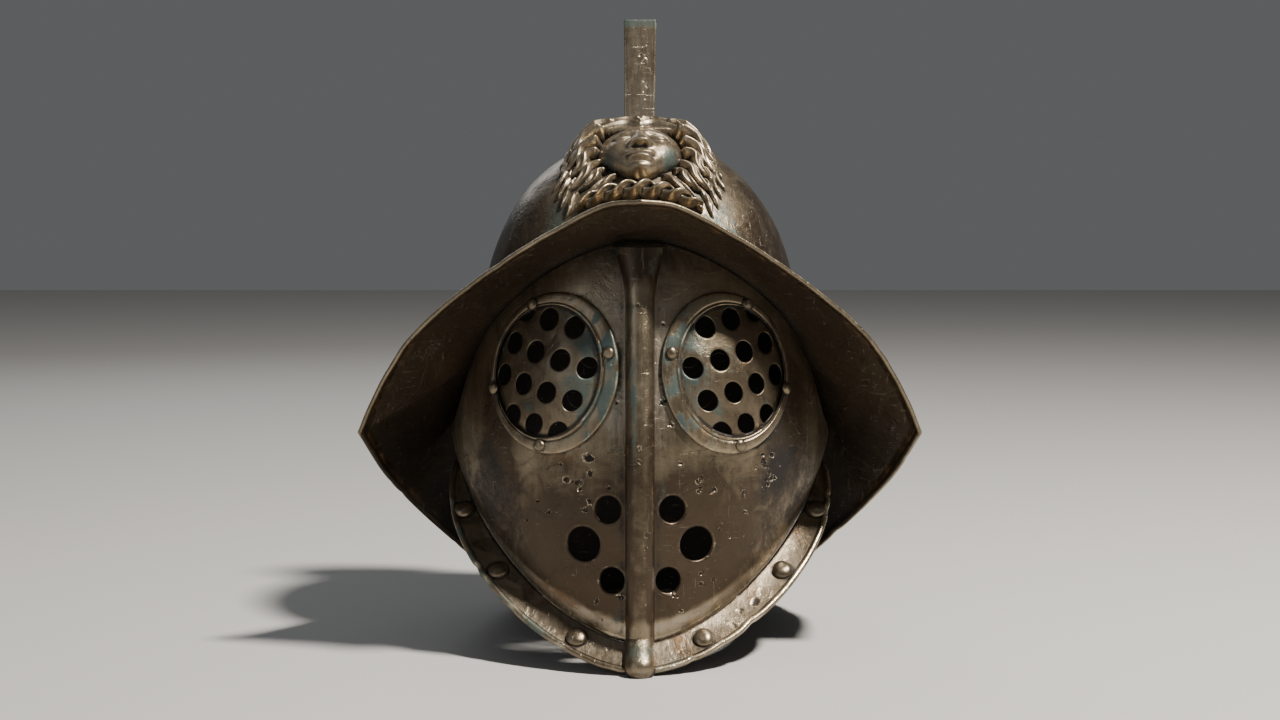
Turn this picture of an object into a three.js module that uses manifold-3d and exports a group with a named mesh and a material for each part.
// Gladiator helmet of the broad-brimmed kind: a raised bronze bowl with a sweeping brim and nape,
// a hollow crest, a cast face emblem, and a fixed visor with pierced eye grilles.
// Millimetres. +Z up, the face looks along -Y, +X is the wearer's left. The helmet stands on the
// tip of its nose ridge and on the nape, and the origin is on the ground under its middle.
import * as THREE from "three";
import { mergeVertices } from "three/addons/utils/BufferGeometryUtils.js";
import Module from "manifold-3d";

const wasm = await Module();
wasm.setup();

// Overall sizes
const brimHalfWidth = 200;
const helmetDepth = 312;
const crestTopHeight = 459;
const wall = 1.6;
const gap = 0.3;
const seatGap = 0.5;
const brimClearance = 1.1;

// Skull of the bowl
const skullHalfWidth = 120;
const skullFrontReach = 115;
const skullBackReach = 118;
const skullCentreY = 18.5;
const crownHeight = 371;
const templeHeight = 240;

// Brim
const brimFrontHeight = 324;
const browRootHeight = 300;
const napeRootHeight = 165;
const brimBendShare = 0.22;
const rimThickness = 3;

// Visor
const visorSideAngle = THREE.MathUtils.degToRad(84);
const chinHalfWidth = 137;
const chinReach = 140;
const chinHeight = 18;
const chinSlope = THREE.MathUtils.degToRad(43);
const chinPoint = 1.62;
const visorBulgeFront = 20;
const visorBulgeSide = 7;
const visorTopShareFront = 0.32;
const visorTopShareSide = 0.5;

// Flange round the chin
const flangeWidth = 25;
const flangeWall = 1.6;
const flangeBead = 2.2;
const flangeStart = 1.2;
const flangeEndShare = 0.97;
const visorLipShare = 0.72;

// Nose ridge
const ridgeHalfWidth = 10;
const ridgeHeight = 9;
const ridgeTopHalfWidth = 19;
const ridgeTopHeight = 13;
const ridgeFlareLength = 42;
const ridgeTopDrop = 2.5;

// Eyes, measured as they are seen from the front
const eyeCentreX = 60;
const eyeCentreZ = 204;
const eyeHalfWidth = 45;
const eyeHalfHeight = 56;
const eyeTilt = THREE.MathUtils.degToRad(13);
const eyeRingHeight = 3;
const eyeRingBevel = 1.2;
const eyeOpeningHalfWidth = 36.5;
const eyeOpeningHalfHeight = 46;
const eyeOpeningShift = 4.5;
const grilleUnderRing = 2.4;
const grilleDome = 7;
const grilleWall = 1.6;

// Breathing holes of the visor
const breathingHalfWidth = 39;
const breathingHalfHeight = 25;
const breathingCentreZ = 87.5;
const breathingRadius = 11.4;
const breathingStretch = 1.05;

// Holes of the grille: slanting rows round the skull's axis, stepping towards the nose and down
const grilleHoleRadius = 7.8;
const grilleHoleShare = 0.96;
const grilleReach = 125;
const grilleFirstAngle = THREE.MathUtils.degToRad(31);
const grilleFirstHeight = -13;
const grilleStepIn = { angle: THREE.MathUtils.degToRad(-9.2), height: -5 };
const grilleStepDown = { angle: THREE.MathUtils.degToRad(5), height: -22.4 };

// Crest
const crestBaseHalfThickness = 11;
const crestTopHalfThickness = 12.4;
const crestFrontY = 42.5;
const crestFrontLean = 8;

// Emblem
const emblemBase = 2.5;
const emblemGap = 0.5;
const emblemWall = 4;
const faceHalfWidth = 27;
const faceHalfLength = 38;
const faceRelief = 12;
const hairRelief = 6;
const hairCrown = 6;
const faceTilt = THREE.MathUtils.degToRad(31);

// Rivets
const flangeRivet = { radius: 7.2, height: 3.6 };
const ringRivet = { radius: 4.2, height: 2.4 };

// How finely the sheets are faceted
const frontColumns = 14;
const rearColumns = 12;
const domeRows = 7;
const brimRows = 6;
const visorColumns = 38;
const visorRows = 11;
const flangeStations = 36;
const crestFootSteps = 9;
const grilleSides = 24;
const holeSides = 10;
const breathingSides = 18;
const rivetSides = 8;

// Rim of the brim, right half: stations of the front edge and of the rear edge.
// across: share of brimHalfWidth; back: share of helmetDepth; height: share of brimFrontHeight
const frontRim = [
  { across: 0.0, back: 0.0, height: 1.0 },
  { across: 0.12, back: 0.036, height: 0.991 },
  { across: 0.3, back: 0.075, height: 0.935 },
  { across: 0.565, back: 0.139, height: 0.832 },
  { across: 0.81, back: 0.194, height: 0.7 },
  { across: 0.95, back: 0.234, height: 0.562 },
  { across: 1.0, back: 0.256, height: 0.494 },
];
const rearRim = [
  { across: 1.0, back: 0.256, height: 0.494 },
  { across: 0.945, back: 0.415, height: 0.386 },
  { across: 0.885, back: 0.543, height: 0.309 },
  { across: 0.77, back: 0.655, height: 0.213 },
  { across: 0.6, back: 0.81, height: 0.09 },
  { across: 0.38, back: 0.93, height: 0.0 },
  { across: 0.0, back: 1.0, height: 0.0 },
];

// Top line of the crest behind its front corner.
// back: share of the way from crestFrontY to the back of the skull; height: share of the height
// that the crest has at its front corner, above the skull at that place
const crestLine = [
  { back: 0.0, height: 1.0 },
  { back: 0.18, height: 0.91 },
  { back: 0.35, height: 0.818 },
  { back: 0.49, height: 0.714 },
  { back: 0.6, height: 0.546 },
  { back: 0.73, height: 0.341 },
  { back: 0.84, height: 0.164 },
  { back: 0.91, height: 0.101 },
];

// Outline of the emblem seen from above, right half.
// across: share of skullHalfWidth; forward: share of skullFrontReach ahead of the crown
const emblemOutline = [
  { across: 0.0, forward: 0.13 },
  { across: 0.26, forward: 0.12 },
  { across: 0.43, forward: 0.2 },
  { across: 0.54, forward: 0.35 },
  { across: 0.5, forward: 0.5 },
  { across: 0.42, forward: 0.62 },
  { across: 0.4, forward: 0.73 },
  { across: 0.22, forward: 0.78 },
  { across: 0.0, forward: 0.8 },
];

// Breathing holes, right side. across: share of breathingHalfWidth from the middle; up: share of
// breathingHalfHeight above breathingCentreZ; size: share of breathingRadius
const breathingHoles = [
  { across: 0.564, up: 1.0, size: 0.78 },
  { across: 1.0, up: 0.0, size: 1.0 },
  { across: 0.495, up: -0.98, size: 0.754 },
];

// Rivets on the eye rings: angle round the eye from its outer side, in degrees
const ringRivetAngles = [153, 264, 334, 56];

// Foot of the nose ridge. out: share of flangeWidth from the chin line; lift: share of ridgeHeight
// off the flange; width and height: shares of the ridge's own
const ridgeFoot = [
  { out: 0.1, lift: 0.0, width: 1.0, height: 1.0 },
  { out: 0.5, lift: 0.0, width: 1.03, height: 1.0 },
  { out: 1.0, lift: 0.0, width: 1.03, height: 0.95 },
  { out: 1.07, lift: -0.55, width: 1.0, height: 1.35 },
  { out: 1.16, lift: -0.5, width: 0.9, height: 1.0 },
  { out: 1.22, lift: -0.3, width: 0.6, height: 0.5 },
];

// Rivets on the flange: share of the way from the chin to the side
const flangeRivetShares = [0.19, 0.54, 0.79];

const bronze = new THREE.MeshStandardMaterial({ color: 0x8a7455, roughness: 0.42, metalness: 1 });
const darkBronze = new THREE.MeshStandardMaterial({ color: 0x6b5a42, roughness: 0.5, metalness: 1 });
const paleBronze = new THREE.MeshStandardMaterial({ color: 0x9c8a6c, roughness: 0.38, metalness: 1 });

const vector = (x, y, z) => new THREE.Vector3(x, y, z);

// A point at an angle from the front, a distance from the skull's axis and a height
function aroundSkull(angle, reach, height) {
  return vector(reach * Math.sin(angle), skullCentreY - reach * Math.cos(angle), height);
}

// Distance from the skull's axis to its widest outline in a direction
function skullReach(angle) {
  const forward = Math.cos(angle) > 0 ? skullFrontReach : skullBackReach;
  return 1 / Math.hypot(Math.sin(angle) / skullHalfWidth, Math.cos(angle) / forward);
}

function rimCurve(stations) {
  const points = stations.map((s) =>
    vector(s.across * brimHalfWidth, (s.back - 0.5) * helmetDepth, s.height * brimFrontHeight));
  return new THREE.CatmullRomCurve3(points, false, "centripetal");
}

const frontCurve = rimCurve(frontRim);
const rearCurve = rimCurve(rearRim);
const angleOf = (point) => Math.atan2(point.x, skullCentreY - point.y);
const tipAngle = angleOf(frontCurve.getPoint(1));

// The rim's distance from the skull's axis and its height in a direction
function rimAt(angle) {
  const bend = Math.abs(angle);
  const curve = bend <= tipAngle ? frontCurve : rearCurve;
  let low = 0;
  let high = 1;
  for (let step = 0; step < 30; step += 1) {
    const middle = (low + high) / 2;
    if (angleOf(curve.getPoint(middle)) < bend) low = middle;
    else high = middle;
  }
  const point = curve.getPoint((low + high) / 2);
  return { reach: Math.hypot(point.x, point.y - skullCentreY), height: Math.max(0, point.z) };
}

// Where the skull turns out into the brim
function rootHeight(angle) {
  const share = ((1 + Math.cos(angle)) / 2) ** 2;
  return napeRootHeight + (browRootHeight - napeRootHeight) * share;
}

// One upright section of the bowl: the skull from the crown down to its root, then the brim
function bowlSection(angle) {
  const reach = skullReach(angle);
  const rise = crownHeight - templeHeight;
  const root = rootHeight(angle);
  const rim = rimAt(angle);
  const turn = Math.acos(Math.min(1, Math.max(0, (root - templeHeight) / rise)));
  const start = { reach: reach * Math.sin(turn), height: root };
  const tangent = new THREE.Vector2(reach * Math.cos(turn), -rise * Math.sin(turn)).normalize();
  const pull = brimBendShare * Math.hypot(rim.reach - start.reach, rim.height - start.height);
  const bend = { reach: start.reach + pull * tangent.x, height: start.height + pull * tangent.y };
  return {
    skull(share) {
      const lean = share * turn;
      const straight = Math.max(0, templeHeight - root) * share ** 4;
      return aroundSkull(angle, reach * Math.sin(lean), templeHeight + rise * Math.cos(lean) - straight);
    },
    brim(share) {
      const a = (1 - share) ** 2;
      const b = 2 * share * (1 - share);
      const c = share ** 2;
      return aroundSkull(
        angle,
        a * start.reach + b * bend.reach + c * rim.reach,
        a * start.height + b * bend.height + c * rim.height,
      );
    },
  };
}

// Faces of a grid of points, whose columns may close on themselves
function gridFaces(columns, rows, closed) {
  const faces = [];
  const last = closed ? columns : columns - 1;
  for (let i = 0; i < last; i += 1) {
    const next = (i + 1) % columns;
    for (let j = 0; j < rows - 1; j += 1) {
      const a = i * rows + j;
      const b = next * rows + j;
      faces.push([a, a + 1, b + 1], [a, b + 1, b]);
    }
  }
  return faces;
}

// Outward directions at the points of a grid, shared where points coincide
function gridNormals(points, faces) {
  const sums = new Map();
  const key = (p) => `${p.x.toFixed(3)},${p.y.toFixed(3)},${p.z.toFixed(3)}`;
  for (const [a, b, c] of faces) {
    const side = points[b].clone().sub(points[a]);
    const normal = side.cross(points[c].clone().sub(points[a]));
    for (const corner of [a, b, c]) {
      const name = key(points[corner]);
      if (!sums.has(name)) sums.set(name, vector(0, 0, 0));
      sums.get(name).add(normal);
    }
  }
  return points.map((p) => sums.get(key(p)).clone().normalize());
}

// A closed geometry from points and faces, with coinciding points joined
function solid(points, faces) {
  const flat = new Float32Array(points.flatMap((p) => [p.x, p.y, p.z]));
  const geometry = new THREE.BufferGeometry();
  geometry.setAttribute("position", new THREE.BufferAttribute(flat, 3));
  geometry.setIndex(faces.flat());
  const merged = mergeVertices(geometry, 1e-4);
  const index = merged.index.array;
  const kept = [];
  for (let i = 0; i < index.length; i += 3) {
    const [a, b, c] = index.slice(i, i + 3);
    if (a !== b && b !== c && c !== a) kept.push(a, b, c);
  }
  merged.setIndex(kept);
  return merged;
}

// Joins two sheets of the same grid into a closed wall
function wallBetween(outer, inner, columns, rows, closed) {
  const faces = gridFaces(columns, rows, closed);
  const shift = outer.length;
  const all = faces.concat(faces.map(([a, b, c]) => [a + shift, c + shift, b + shift]));
  const strip = (a, b) => all.push([a, b, b + shift], [a, b + shift, a + shift]);
  const last = closed ? columns : columns - 1;
  for (let i = 0; i < last; i += 1) {
    const next = (i + 1) % columns;
    strip(i * rows + rows - 1, next * rows + rows - 1);
    strip(next * rows, i * rows);
  }
  if (!closed) {
    for (let j = 0; j < rows - 1; j += 1) {
      strip(j, j + 1);
      strip((columns - 1) * rows + j + 1, (columns - 1) * rows + j);
    }
  }
  const turned = all.map(([a, b, c], n) => (n < 2 * faces.length ? [a, b, c] : [a, c, b]));
  return solid(outer.concat(inner), turned);
}

function toManifold(geometry) {
  const bare = new THREE.BufferGeometry();
  bare.setAttribute("position", geometry.getAttribute("position"));
  bare.setIndex(geometry.getIndex());
  const merged = mergeVertices(bare, 1e-4);
  return new wasm.Manifold(new wasm.Mesh({
    numProp: 3,
    vertProperties: new Float32Array(merged.getAttribute("position").array),
    triVerts: new Uint32Array(merged.getIndex().array),
  }));
}

function fromManifold(body) {
  const mesh = body.getMesh();
  const geometry = new THREE.BufferGeometry();
  geometry.setAttribute("position", new THREE.BufferAttribute(new Float32Array(mesh.vertProperties), 3));
  geometry.setIndex(Array.from(mesh.triVerts));
  return geometry;
}

// A loft through closed sections that all have the same number of points
function loft(sections) {
  const rows = sections[0].length;
  const points = sections.flat();
  const faces = [];
  for (let i = 0; i < sections.length - 1; i += 1) {
    for (let j = 0; j < rows; j += 1) {
      const a = i * rows + j;
      const b = i * rows + ((j + 1) % rows);
      faces.push([a, b, b + rows], [a, b + rows, a + rows]);
    }
  }
  for (const end of [0, sections.length - 1]) {
    const middle = sections[end].reduce((sum, p) => sum.add(p), vector(0, 0, 0)).divideScalar(rows);
    const hub = points.push(middle) - 1;
    for (let j = 0; j < rows; j += 1) {
      const a = end * rows + j;
      const b = end * rows + ((j + 1) % rows);
      faces.push(end === 0 ? [b, a, hub] : [a, b, hub]);
    }
  }
  return outwards(solid(points, faces));
}

// Turns a closed geometry inside out if its faces point in
function outwards(geometry) {
  const position = geometry.getAttribute("position");
  const index = geometry.getIndex().array;
  const corner = (n) => vector().fromBufferAttribute(position, index[n]);
  let volume = 0;
  for (let i = 0; i < index.length; i += 3) {
    volume += corner(i).dot(corner(i + 1).cross(corner(i + 2)));
  }
  if (volume < 0) {
    for (let i = 0; i < index.length; i += 3) {
      [index[i], index[i + 1]] = [index[i + 1], index[i]];
    }
  }
  return geometry;
}

// Directions of the bowl's columns all round, with one exactly at each tip of the brim
function bowlAngles() {
  const right = [];
  for (let i = 0; i <= frontColumns; i += 1) {
    right.push(angleOf(frontCurve.getPoint(i / frontColumns)));
  }
  for (let i = 1; i <= rearColumns; i += 1) {
    right.push(angleOf(rearCurve.getPoint(i / rearColumns)));
  }
  right[right.length - 1] = Math.PI;
  const left = right.slice(1, -1).reverse().map((angle) => -angle);
  return right.concat(left);
}

function makeBowl() {
  const angles = bowlAngles();
  const rows = domeRows + brimRows + 1;
  const outer = [];
  for (const angle of angles) {
    const section = bowlSection(angle);
    for (let j = 0; j <= domeRows; j += 1) outer.push(section.skull(j / domeRows));
    for (let j = 1; j <= brimRows; j += 1) outer.push(section.brim(j / brimRows));
  }
  const normals = gridNormals(outer, gridFaces(angles.length, rows, true));
  const inner = outer.map((point, n) => {
    const row = n % rows;
    const thickness = row === rows - 1 ? rimThickness : wall;
    const moved = point.clone().addScaledVector(normals[n], -thickness);
    if (row < rows - 1) return moved;
    // the rim's lower corner stays within the upper one, and on the ground beside it at the nape
    if (point.y < 0) moved.y = Math.max(moved.y, point.y);
    if (point.z < gap) moved.z = point.z;
    return moved;
  });
  return outwards(wallBetween(outer, inner, angles.length, rows, true));
}

// Outer surface of the skull above a place in plan, and its outward direction
function skullSurface(x, y) {
  const rise = crownHeight - templeHeight;
  const back = y > skullCentreY ? skullBackReach : skullFrontReach;
  const across = x / skullHalfWidth;
  const along = (y - skullCentreY) / back;
  const level = Math.sqrt(Math.max(0.01, 1 - across ** 2 - along ** 2));
  const normal = vector(across / skullHalfWidth, along / back, level / rise).normalize();
  return { point: vector(x, y, templeHeight + rise * level), normal };
}

// Chin line, where the visor turns out into its flange: a pointed oval in a slanting plane
function chinPointAt(angle) {
  const side = (Math.abs(Math.sin(angle)) / chinHalfWidth) ** chinPoint;
  const front = (Math.max(0, Math.cos(angle)) / chinReach) ** chinPoint;
  const reach = (side + front) ** (-1 / chinPoint);
  const flat = aroundSkull(angle, reach, 0);
  flat.z = chinHeight + (flat.y - skullCentreY + chinReach) * Math.tan(chinSlope);
  return flat;
}

// Direction in the slanting plane that points straight out from the chin line
const chinNormal = vector(0, -Math.sin(chinSlope), Math.cos(chinSlope));
function chinOutward(angle) {
  const step = 0.01;
  const along = chinPointAt(angle + step).sub(chinPointAt(angle - step)).normalize();
  return along.cross(chinNormal).normalize();
}

// Share of the flange's width that is left in a direction, as it runs out under the brim
function flangeShare(angle) {
  const chinY = chinPointAt(0).y;
  const travelled = (chinPointAt(angle).y - chinY) / (chinPointAt(visorSideAngle).y - chinY);
  return Math.max(0.12, 1 - travelled ** 4);
}

// One upright section of the visor's outer face, from under the brim (0) to the chin line (1)
function visorSection(angle) {
  const sideways = 1 - Math.cos(angle);
  const share = visorTopShareFront + (visorTopShareSide - visorTopShareFront) * Math.min(1, sideways);
  const brim = bowlSection(angle).brim;
  const top = brim(share);
  const step = 0.01;
  const slope = brim(share + step).sub(brim(share - step)).normalize();
  const across = vector(Math.cos(angle), Math.sin(angle), 0);
  const below = slope.cross(across).normalize();
  if (below.z > 0) below.negate();
  top.addScaledVector(below, wall + brimClearance);
  const chin = chinPointAt(angle);
  const front = Math.max(0, Math.cos(angle));
  const bulge = visorBulgeSide + (visorBulgeFront - visorBulgeSide) * front ** 2;
  const middle = top.clone().add(chin).multiplyScalar(0.5);
  middle.add(vector(bulge * Math.sin(angle), -bulge * Math.cos(angle), 0));
  return (v) => vector(0, 0, 0)
    .addScaledVector(top, (1 - v) * (1 - 2 * v))
    .addScaledVector(middle, 4 * v * (1 - v))
    .addScaledVector(chin, v * (2 * v - 1));
}

// The visor's outer face as a grid of points, then its lip under the flange
function visorGrid() {
  const points = [];
  for (let i = 0; i < visorColumns; i += 1) {
    const angle = visorSideAngle * (2 * (i / (visorColumns - 1)) - 1);
    const section = visorSection(angle);
    for (let j = 0; j < visorRows; j += 1) points.push(section(j / (visorRows - 1)));
    const outward = chinOutward(angle);
    const width = flangeWidth * visorLipShare * flangeShare(angle);
    points.push(chinPointAt(angle).addScaledVector(outward, width));
  }
  return points;
}

const visorFace = visorGrid();
const visorFaceRows = visorRows + 1;

// Distance along Y to the visor's outer face in front of a place (x, z), with its outward direction
function visorAt(x, z) {
  for (const [a, b, c] of gridFaces(visorColumns, visorFaceRows, false)) {
    const [p, q, r] = [visorFace[a], visorFace[b], visorFace[c]];
    const area = (q.x - p.x) * (r.z - p.z) - (r.x - p.x) * (q.z - p.z);
    if (Math.abs(area) < 1e-9) continue;
    const s = ((x - p.x) * (r.z - p.z) - (r.x - p.x) * (z - p.z)) / area;
    const t = ((q.x - p.x) * (z - p.z) - (x - p.x) * (q.z - p.z)) / area;
    if (s < -1e-6 || t < -1e-6 || s + t > 1 + 1e-6) continue;
    const normal = q.clone().sub(p).cross(r.clone().sub(p)).normalize();
    if (normal.y > 0) normal.negate();
    return { y: p.y + s * (q.y - p.y) + t * (r.y - p.y), normal };
  }
  throw new Error(`no visor in front of ${x}, ${z}`);
}

// A place round an eye, as seen from the front, on an oval that may be shifted away from the nose
function eyePlace(side, angle, width, height, shift = 0) {
  const u = shift + width * Math.cos(angle);
  const w = height * Math.sin(angle);
  const x = eyeCentreX + u * Math.cos(eyeTilt) - w * Math.sin(eyeTilt);
  const z = eyeCentreZ + u * Math.sin(eyeTilt) + w * Math.cos(eyeTilt);
  return { x: side * x, z };
}

// A bar along Y with an oval or round outline, for cutting
function crossBar(place, sides) {
  const length = helmetDepth;
  const ring = [];
  for (let i = 0; i < sides; i += 1) ring.push(place((2 * Math.PI * i) / sides));
  const section = (y) => ring.map((p) => vector(p.x, y, p.z));
  return toManifold(loft([section(-length), section(skullCentreY)]));
}

function roundBar(x, z, halfWidth, halfHeight, sides) {
  const place = (angle) => ({ x: x + halfWidth * Math.cos(angle), z: z + halfHeight * Math.sin(angle) });
  return crossBar(place, sides);
}

const grilleHalfWidth = eyeOpeningHalfWidth + grilleUnderRing;
const grilleHalfHeight = eyeOpeningHalfHeight + grilleUnderRing;

// A place on a grille: share 1 is the edge of its rim
function grillePlace(side, angle, share, extra = 0) {
  const width = grilleHalfWidth * share + extra;
  return eyePlace(side, angle, width, grilleHalfHeight * share + extra, eyeOpeningShift);
}

function makeVisor() {
  const normals = gridNormals(visorFace, gridFaces(visorColumns, visorFaceRows, false));
  const inner = visorFace.map((point, n) => point.clone().addScaledVector(normals[n], -wall));
  let body = toManifold(outwards(wallBetween(visorFace, inner, visorColumns, visorFaceRows, false)));
  for (const side of [-1, 1]) {
    body = body.subtract(crossBar((angle) => grillePlace(side, angle, 1, gap), grilleSides));
    for (const hole of breathingHoles) {
      const x = side * hole.across * breathingHalfWidth;
      const z = breathingCentreZ + hole.up * breathingHalfHeight;
      const radius = hole.size * breathingRadius;
      body = body.subtract(roundBar(x, z, radius, radius * breathingStretch, breathingSides));
    }
  }
  return fromManifold(body);
}

// The eye grille: a shallow dome whose rim fills the visor's eye opening
function makeGrille(side) {
  const underRing = grilleUnderRing / grilleHalfWidth;
  const shares = [0, 0.36, 0.7, 1 - underRing * 1.3, 1];
  const outer = [];
  const inner = [];
  for (let i = 0; i < grilleSides; i += 1) {
    const angle = (2 * Math.PI * i) / grilleSides;
    for (const share of shares) {
      const place = grillePlace(side, angle, share);
      const face = visorAt(place.x, place.z);
      const free = Math.max(0, 1 - (share / shares[3]) ** 2);
      const front = face.y - grilleDome * free;
      outer.push(vector(place.x, front, place.z));
      inner.push(vector(place.x, front + grilleWall / Math.max(0.5, -face.normal.y), place.z));
    }
  }
  let body = toManifold(outwards(wallBetween(outer, inner, grilleSides, shares.length, true)));
  const insideRing = crossBar((angle) => grillePlace(side, angle, shares[3]), grilleSides);
  for (const hole of grilleHoles()) {
    const halfWidth = grilleHoleRadius * Math.cos(hole.angle);
    const bar = roundBar(side * hole.x, hole.z, halfWidth, grilleHoleRadius, holeSides);
    body = body.subtract(bar.intersect(insideRing));
  }
  return fromManifold(body);
}

// Centres of the grille's holes in slanting rows, those that open inside its ring
function grilleHoles() {
  const centres = [];
  const reach = 5;
  for (let row = -reach; row <= reach; row += 1) {
    for (let column = -reach; column <= reach; column += 1) {
      const angle = grilleFirstAngle + column * grilleStepIn.angle + row * grilleStepDown.angle;
      const x = grilleReach * Math.sin(angle);
      const rise = grilleFirstHeight + column * grilleStepIn.height + row * grilleStepDown.height;
      const dx = x - eyeCentreX;
      const u = dx * Math.cos(eyeTilt) + rise * Math.sin(eyeTilt) - eyeOpeningShift;
      const w = rise * Math.cos(eyeTilt) - dx * Math.sin(eyeTilt);
      if (Math.hypot(u / eyeOpeningHalfWidth, w / eyeOpeningHalfHeight) < grilleHoleShare) {
        centres.push({ x, z: eyeCentreZ + rise, angle });
      }
    }
  }
  return centres;
}

// The raised ring that clamps a grille to the visor
function ringSection(side, angle) {
  const at = (inset, height) => {
    const seat = ringSeat(side, angle, inset);
    return seat.point.setY(seat.point.y - height / Math.max(0.55, -seat.normal.y));
  };
  return [
    at(0, 0),
    at(0, eyeRingHeight - eyeRingBevel),
    at(0.12, eyeRingHeight),
    at(0.88, eyeRingHeight),
    at(1, eyeRingHeight - eyeRingBevel),
    at(1, 0),
  ];
}

// A place under an eye ring, just clear of the visor: inset 0 is its outer edge and 1 its inner one
function ringSeat(side, angle, inset) {
  const outer = eyePlace(side, angle, eyeHalfWidth, eyeHalfHeight);
  const inner = eyePlace(side, angle, eyeOpeningHalfWidth, eyeOpeningHalfHeight, eyeOpeningShift);
  const x = outer.x + (inner.x - outer.x) * inset;
  const z = outer.z + (inner.z - outer.z) * inset;
  const face = visorAt(x, z);
  return { point: vector(x, face.y - seatGap, z), normal: face.normal };
}

function makeEyeRing(side) {
  const sides = 30;
  const outer = [];
  for (let i = 0; i < sides; i += 1) outer.push(ringSection(side, (2 * Math.PI * i) / sides));
  const rows = outer[0].length;
  const points = outer.flat();
  const faces = [];
  for (let i = 0; i < sides; i += 1) {
    const next = (i + 1) % sides;
    for (let j = 0; j < rows; j += 1) {
      const k = (j + 1) % rows;
      faces.push([i * rows + j, i * rows + k, next * rows + k]);
      faces.push([i * rows + j, next * rows + k, next * rows + j]);
    }
  }
  return outwards(solid(points, faces));
}

// The half-round ridge down the middle of the visor, from the brim to its foot on the ground
function makeNoseRidge() {
  const stations = 15;
  const topZ = visorSection(0)(0).z - ridgeTopDrop;
  const chin = chinPointAt(0);
  const bottomZ = chin.z + 3 * flangeWall;
  const sections = [];
  for (let i = 0; i <= stations; i += 1) {
    const z = topZ + (bottomZ - topZ) * (i / stations);
    const flare = Math.max(0, 1 - (topZ - z) / ridgeFlareLength) ** 2;
    const halfWidth = ridgeHalfWidth + (ridgeTopHalfWidth - ridgeHalfWidth) * flare;
    const height = ridgeHeight + (ridgeTopHeight - ridgeHeight) * flare;
    const face = (x) => vector(x, visorAt(x, z).y - seatGap, z);
    sections.push(ridgeSection(halfWidth, height, face, vector(0, -1, 0)));
  }
  // over the flange the ridge bends forward with it and ends in a rounded foot
  const lift = seatGap + flangeWall + flangeBead / 2;
  for (const foot of ridgeFoot) {
    const base = chin.clone().addScaledVector(chinOutward(0), foot.out * flangeWidth);
    base.addScaledVector(chinNormal, lift + foot.lift * ridgeHeight);
    const face = (x) => base.clone().setX(x);
    const height = ridgeHeight * foot.height;
    sections.push(ridgeSection(ridgeHalfWidth * foot.width, height, face, chinNormal));
  }
  // the foot is cut flat where it stands on the ground
  const ground = new THREE.BoxGeometry(2 * brimHalfWidth, 2 * helmetDepth, brimFrontHeight);
  ground.translate(0, 0, -brimFrontHeight / 2);
  return fromManifold(toManifold(loft(sections)).subtract(toManifold(ground)));
}

// A half-round section of the ridge on a face, standing out from it
function ridgeSection(halfWidth, height, face, outward) {
  const arc = 8;
  const section = [];
  for (let k = 0; k <= arc; k += 1) {
    const turn = Math.PI * (k / arc);
    const x = -halfWidth * Math.cos(turn);
    const middle = face(0).setX(x);
    const ends = Math.abs(Math.cos(turn)) ** 4;
    const foot = middle.lerp(face(x), ends);
    section.push(foot.addScaledVector(outward, height * Math.sin(turn)));
  }
  for (let k = 1; k < 4; k += 1) section.push(face(halfWidth * (1 - k / 2)));
  return section;
}

// The flange riveted round the chin, with a bead along its outer edge
function makeFlange() {
  const sections = [];
  for (let i = 0; i <= flangeStations; i += 1) {
    const angle = visorSideAngle * flangeEndShare * (2 * (i / flangeStations) - 1);
    const out = chinOutward(angle);
    const width = flangeWidth * flangeShare(angle);
    const at = (across, up) => chinPointAt(angle)
      .addScaledVector(out, across)
      .addScaledVector(chinNormal, seatGap + up);
    const bead = Math.min(flangeBead, width / 3);
    const start = Math.min(flangeStart, width / 4);
    sections.push([
      at(start, 0),
      at(start, flangeWall),
      at(width - bead, flangeWall),
      at(width - bead * 0.6, flangeWall + bead * 0.35),
      at(width, flangeWall * 0.8),
      at(width + bead * 0.2, flangeWall * 0.2),
      at(width - bead * 0.2, -bead * 0.3),
      at(width - bead, 0),
    ]);
  }
  return loft(sections);
}

// The crest seen from the side: its top line, then back along its foot on the skull.
// With an inset it is the outline of the hollow, which reaches down past the foot.
function crestOutline(inset) {
  const run = skullCentreY + skullBackReach - crestFrontY;
  const skullTop = (y) => skullSurface(0, y).point.z;
  const frontRise = crestTopHeight - skullTop(crestFrontY);
  const top = crestLine.map((row) => {
    const y = crestFrontY + row.back * run;
    return { y, z: skullTop(y) + row.height * frontRise };
  });
  const under = top.map((p, n) => {
    const before = top[Math.max(0, n - 1)];
    const after = top[Math.min(top.length - 1, n + 1)];
    const slope = (after.z - before.z) / (after.y - before.y);
    // the hollow stops short of both ends and keeps under the top line there
    let shift = 0;
    if (n === 0) shift = inset;
    if (n === top.length - 1) shift = -2 * inset;
    return { y: p.y + shift, z: p.z + slope * shift - inset * Math.hypot(1, slope) };
  });
  const back = under[under.length - 1].y;
  const front = crestFrontY - crestFrontLean + inset;
  for (let i = 0; i <= crestFootSteps; i += 1) {
    const y = back + (front - back) * (i / crestFootSteps);
    under.push({ y, z: skullTop(y) + gap - 4 * inset });
  }
  return under;
}

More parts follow.
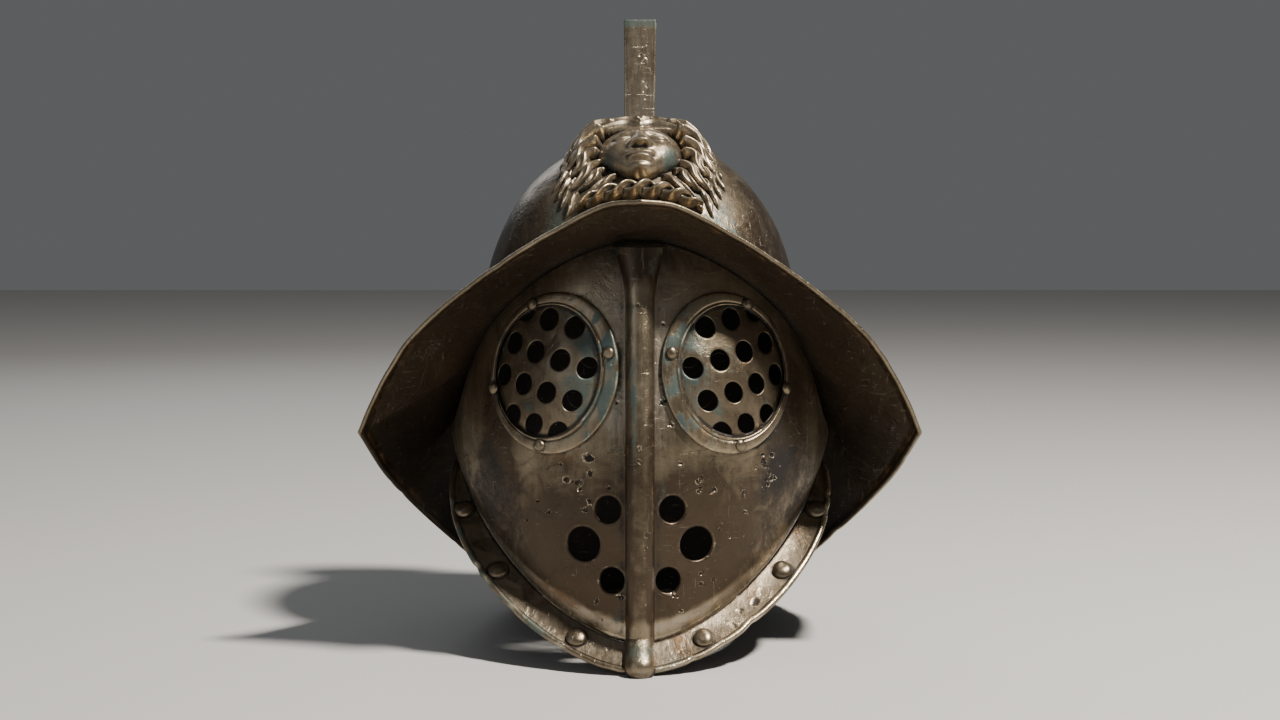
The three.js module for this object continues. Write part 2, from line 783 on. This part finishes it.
function crestPrism(outline, inset) {
  const base = skullSurface(0, crestFrontY).point.z;
  const half = (z) => {
    const share = Math.max(0, (z - base) / (crestTopHeight - base));
    return crestBaseHalfThickness + (crestTopHalfThickness - crestBaseHalfThickness) * share - inset;
  };
  const flat = outline.map((p) => new THREE.Vector2(p.y, p.z));
  const triangles = THREE.ShapeUtils.triangulateShape(flat, []);
  const left = outline.map((p) => vector(-half(p.z), p.y, p.z));
  const right = outline.map((p) => vector(half(p.z), p.y, p.z));
  const count = outline.length;
  const faces = triangles.map(([a, b, c]) => [a, c, b]);
  for (const [a, b, c] of triangles) faces.push([a + count, b + count, c + count]);
  for (let i = 0; i < count; i += 1) {
    const next = (i + 1) % count;
    faces.push([next, i, i + count], [next, i + count, next + count]);
  }
  return outwards(solid(left.concat(right), faces));
}

// The crest: a hollow fin of sheet, open where it sits on the skull
function makeCrest() {
  const body = toManifold(crestPrism(crestOutline(0), 0));
  const hollow = toManifold(crestPrism(crestOutline(wall), wall));
  return fromManifold(body.subtract(hollow));
}

// Height of the emblem's relief at a place across the face and along it, from its middle.
// The face is a plain calm one: eyes half way down the head, nose a quarter, mouth below it.
function emblemRelief(across, along) {
  const bump = (x, y, wide, long, height) => {
    const d = ((across - x) / wide) ** 2 + ((along - y) / long) ** 2;
    return height * Math.exp(-d);
  };
  const both = (x, y, wide, long, height) => bump(x, y, wide, long, height) + bump(-x, y, wide, long, height);
  const inFace = Math.hypot(across / faceHalfWidth, along / faceHalfLength);
  const head = inFace < 1 ? faceRelief * Math.sqrt(1 - inFace ** 2) : 0;
  const nose = bump(0, -3, 4.5, 11, 4) + bump(0, -9, 6, 5, 2.5);
  const brow = both(10, 6, 9, 4, 1.6);
  const eyes = both(10, 0, 6, 3, 1.2) - both(10, 3, 8, 2.5, 1);
  const mouth = bump(0, -18, 8, 2.2, 1.4) + bump(0, -22, 6, 2.4, 1.2);
  const chin = bump(0, -30, 8, 6, 1.8);
  const around = inFace < 1 ? nose + brow + eyes + mouth + chin : 0;
  const lock = Math.cos((along - Math.abs(across) * 0.75) * 0.5);
  const crown = hairCrown * Math.min(1, Math.max(0, along / faceHalfLength + 0.3));
  const hair = hairRelief * (1 + 0.25 * lock) + crown;
  const blend = Math.min(1, Math.max(0, (inFace - 1) * 5));
  return head + around + hair * blend;
}

// The emblem: a hollow casting, open at the back, that lies on the front of the skull
function makeEmblem() {
  const sides = 34;
  const rings = 8;
  const middleY = skullCentreY - skullFrontReach * 0.46;
  const half = emblemOutline.map((s) =>
    vector(s.across * skullHalfWidth, skullCentreY - s.forward * skullFrontReach, 0));
  const mirrored = half.slice(1, -1).reverse().map((p) => vector(-p.x, p.y, 0));
  const outline = new THREE.CatmullRomCurve3(half.concat(mirrored), true, "centripetal");
  const outer = [];
  const inner = [];
  for (let i = 0; i < sides; i += 1) {
    const edge = outline.getPoint(i / sides);
    for (let j = 0; j <= rings; j += 1) {
      const share = j / rings;
      const x = edge.x * share;
      const y = middleY + (edge.y - middleY) * share;
      const base = skullSurface(x, y);
      const lean = Math.asin(Math.min(1, (skullCentreY - y) / skullFrontReach));
      const along = (faceTilt - lean) * ((skullFrontReach + crownHeight - templeHeight) / 2);
      const fade = Math.min(1, (1 - share) * 6);
      const height = emblemBase + emblemRelief(x, along) * fade;
      const under = Math.max(0, height - emblemWall);
      outer.push(base.point.clone().addScaledVector(base.normal, emblemGap + height));
      inner.push(base.point.clone().addScaledVector(base.normal, emblemGap + under));
    }
  }
  return outwards(wallBetween(outer, inner, sides, rings + 1, true));
}

// A domed rivet head, flat underneath, standing along +Z
function makeRivet(size) {
  const profile = [
    new THREE.Vector2(0, 0),
    new THREE.Vector2(size.radius, 0),
    new THREE.Vector2(size.radius * 0.75, size.height * 0.7),
    new THREE.Vector2(0, size.height),
  ];
  return new THREE.LatheGeometry(profile, rivetSides);
}

const helmet = new THREE.Group();

function add(name, geometry, material) {
  const mesh = new THREE.Mesh(geometry, material);
  mesh.name = name;
  helmet.add(mesh);
  return mesh;
}

// Sets a rivet on a surface: its foot at a point, standing along the surface's outward direction
function addRivet(name, size, point, normal, material) {
  const mesh = add(name, makeRivet(size), material);
  mesh.quaternion.setFromUnitVectors(vector(0, 1, 0), normal);
  mesh.position.copy(point).addScaledVector(normal, gap);
}

add("bowl", makeBowl(), bronze);
add("crest", makeCrest(), bronze);
add("face_emblem", makeEmblem(), paleBronze);
add("visor", makeVisor(), bronze);
add("nose_ridge", makeNoseRidge(), paleBronze);
add("chin_flange", makeFlange(), paleBronze);

for (const [hand, side] of [["left", 1], ["right", -1]]) {
  add(`eye_ring_${hand}`, makeEyeRing(side), bronze);
  add(`eye_grille_${hand}`, makeGrille(side), darkBronze);
  ringRivetAngles.forEach((degrees, n) => {
    const seat = ringSeat(side, THREE.MathUtils.degToRad(degrees), 0.5);
    const top = seat.point.addScaledVector(seat.normal, eyeRingHeight);
    addRivet(`ring_rivet_${hand}_${n + 1}`, ringRivet, top, seat.normal, darkBronze);
  });
  flangeRivetShares.forEach((share, n) => {
    const angle = side * share * visorSideAngle;
    const seat = chinPointAt(angle)
      .addScaledVector(chinOutward(angle), flangeWidth * flangeShare(angle) * 0.5)
      .addScaledVector(chinNormal, seatGap + flangeWall);
    addRivet(`flange_rivet_${hand}_${n + 1}`, flangeRivet, seat, chinNormal, darkBronze);
  });
}

export default helmet;
